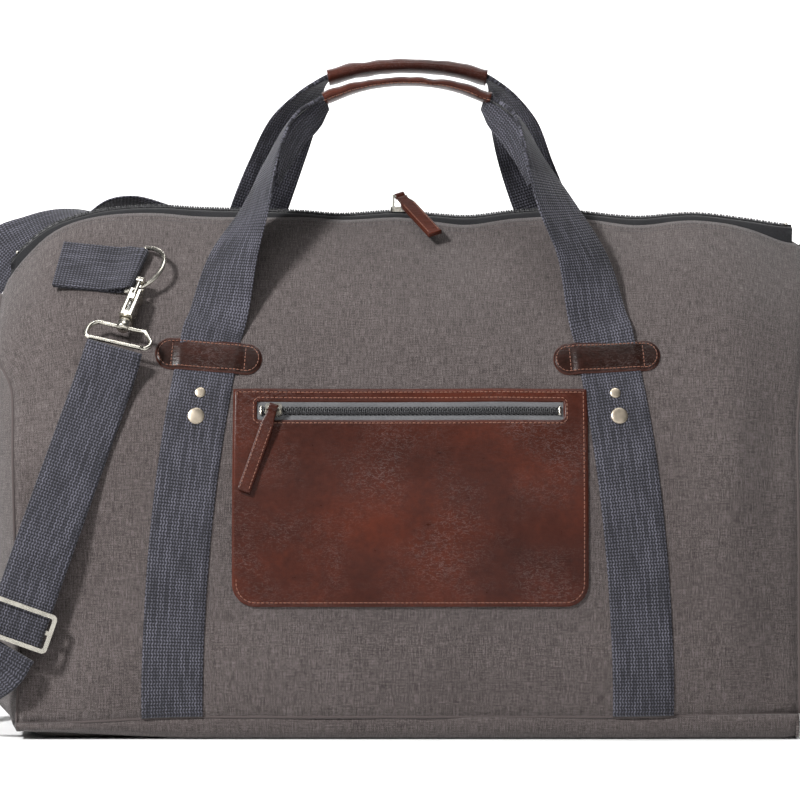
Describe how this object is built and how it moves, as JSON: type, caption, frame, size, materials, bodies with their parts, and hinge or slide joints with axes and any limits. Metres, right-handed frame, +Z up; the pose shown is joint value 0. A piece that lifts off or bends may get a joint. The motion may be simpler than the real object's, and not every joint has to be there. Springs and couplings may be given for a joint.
{
  "type": "weekender duffel bag",
  "caption": "Canvas weekender duffel bag with webbing carry handles, leather grips, a zipped leather front pocket and a clip-on shoulder strap.",
  "frame": {"origin": "middle of the bag's base, on the surface that it stands on", "axes": "+X along the bag to the right seen from the front, -Y out of the front pocket face, +Z up"},
  "size_m": [0.5874, 0.2655, 0.4505],
  "materials": {
    "canvas": "matte",
    "lining": "matte",
    "webbing": "satin",
    "leather": "satin",
    "nickel": "polished",
    "rivet_metal": "satin",
    "spring_steel": "satin",
    "zip_tape": "matte",
    "pocket_zip_tape": "matte",
    "zip_coil": "satin",
    "board": "matte"
  },
  "bodies": {
    "root": {"back_panel": "canvas", "base_board": "board", "bottom_panel": "canvas", "front_left_keeper": "leather", "front_left_webbing": "webbing", "front_panel": "canvas", "front_right_keeper": "leather", "front_right_webbing": "webbing", "front_ring_tab": "webbing", "front_swivel_loop": "nickel", "front_zip_tape": "zip_tape", "large_rivets": "rivet_metal", "left_end_panel": "canvas", "lining": "lining", "main_zip_coil": "zip_coil", "main_zip_end_stops": "nickel", "pocket_bag": "lining", "pocket_face": "leather", "pocket_zip_coil": "zip_coil", "pocket_zip_stops": "nickel", "pocket_zip_tape": "pocket_zip_tape", "rear_left_keeper": "leather", "rear_left_webbing": "webbing", "rear_right_keeper": "leather", "rear_right_webbing": "webbing", "rear_ring_tab": "webbing", "rear_swivel_loop": "nickel", "rear_zip_tape": "zip_tape", "right_end_panel": "canvas", "rivet_backs": "rivet_metal", "shoulder_strap": "webbing", "small_rivets": "rivet_metal", "strap_run": "webbing"},
    "main_slider": {"main_zip_slider": "nickel", "main_zip_bail": "nickel"},
    "main_pull": {"main_zip_pull": "leather"},
    "pocket_slider": {"pocket_zip_slider": "nickel", "pocket_zip_bail": "nickel"},
    "pocket_pull": {"pocket_zip_pull": "leather"},
    "front_handle": {"front_handle_webbing": "webbing", "front_handle_grip": "leather"},
    "rear_handle": {"rear_handle_webbing": "webbing", "rear_handle_grip": "leather"},
    "front_ring": {"front_d_ring": "nickel"},
    "rear_ring": {"rear_d_ring": "nickel"},
    "front_hook": {"front_hook_body": "nickel", "front_gate_spring": "spring_steel"},
    "rear_hook": {"rear_hook_body": "nickel", "rear_gate_spring": "spring_steel"},
    "front_gate": {"front_hook_gate": "nickel"},
    "rear_gate": {"rear_hook_gate": "nickel"},
    "adjuster": {"strap_adjuster": "nickel"}
  },
  "joints": [
    {"name": "main_zip_slide", "type": "slide", "parent": "root", "child": "main_slider", "axis": [1, 0, 0], "range_m": [-0.205, 0.238]},
    {"name": "main_pull_hinge", "type": "hinge", "parent": "main_slider", "child": "main_pull", "pos_m": [-0.005, 0, 0.3577], "axis": [-1, 0, 0], "range_deg": [0, 140]},
    {"name": "pocket_zip_slide", "type": "slide", "parent": "root", "child": "pocket_slider", "axis": [1, 0, 0], "range_m": [0, 0.174]},
    {"name": "pocket_pull_hinge", "type": "hinge", "parent": "pocket_slider", "child": "pocket_pull", "pos_m": [-0.087, -0.11732, 0.21462], "axis": [-1, 0, 0], "range_deg": [0, 60]},
    {"name": "front_handle_fold", "type": "hinge", "parent": "root", "child": "front_handle", "pos_m": [0, -0.08391, 0.26936], "axis": [1, 0, 0], "range_deg": [0, 140]},
    {"name": "rear_handle_fold", "type": "hinge", "parent": "root", "child": "rear_handle", "pos_m": [0, 0.08391, 0.26936], "axis": [-1, 0, 0], "range_deg": [0, 140]},
    {"name": "front_ring_swing", "type": "hinge", "parent": "root", "child": "front_ring", "pos_m": [-0.18, -0.05811, 0.30567], "axis": [0.2756, 0.6407, 0.7166], "range_deg": [0, 8]},
    {"name": "front_hook_swivel", "type": "hinge", "parent": "root", "child": "front_hook", "pos_m": [-0.17641, -0.07403, 0.29326], "axis": [-0.2603, -0.6297, -0.732], "range_deg": [-6, 20]},
    {"name": "front_gate_slide", "type": "slide", "parent": "front_hook", "child": "front_gate", "axis": [-0.2603, -0.6297, -0.732], "range_m": [0, 0.0065], "stiffness_N_per_m": 200, "springref_m": -0.004, "deforming": ["front_gate_spring"]},
    {"name": "rear_ring_swing", "type": "hinge", "parent": "root", "child": "rear_ring", "pos_m": [0.18, 0.05811, 0.30567], "axis": [0.2079, -0.6519, 0.7292], "range_deg": [-4, 4]},
    {"name": "rear_hook_swivel", "type": "hinge", "parent": "root", "child": "rear_hook", "pos_m": [0.16141, 0.0612, 0.31373], "axis": [-0.9434, -0.2852, 0.1693], "range_deg": [-20, 20]},
    {"name": "rear_gate_slide", "type": "slide", "parent": "rear_hook", "child": "rear_gate", "axis": [-0.9434, -0.2852, 0.1693], "range_m": [0, 0.0065], "stiffness_N_per_m": 200, "springref_m": -0.004, "deforming": ["rear_gate_spring"]},
    {"name": "adjuster_slide", "type": "slide", "parent": "root", "child": "adjuster", "axis": [0.3334, 0, 0.9428], "range_m": [0, 0.036]}
  ]
}
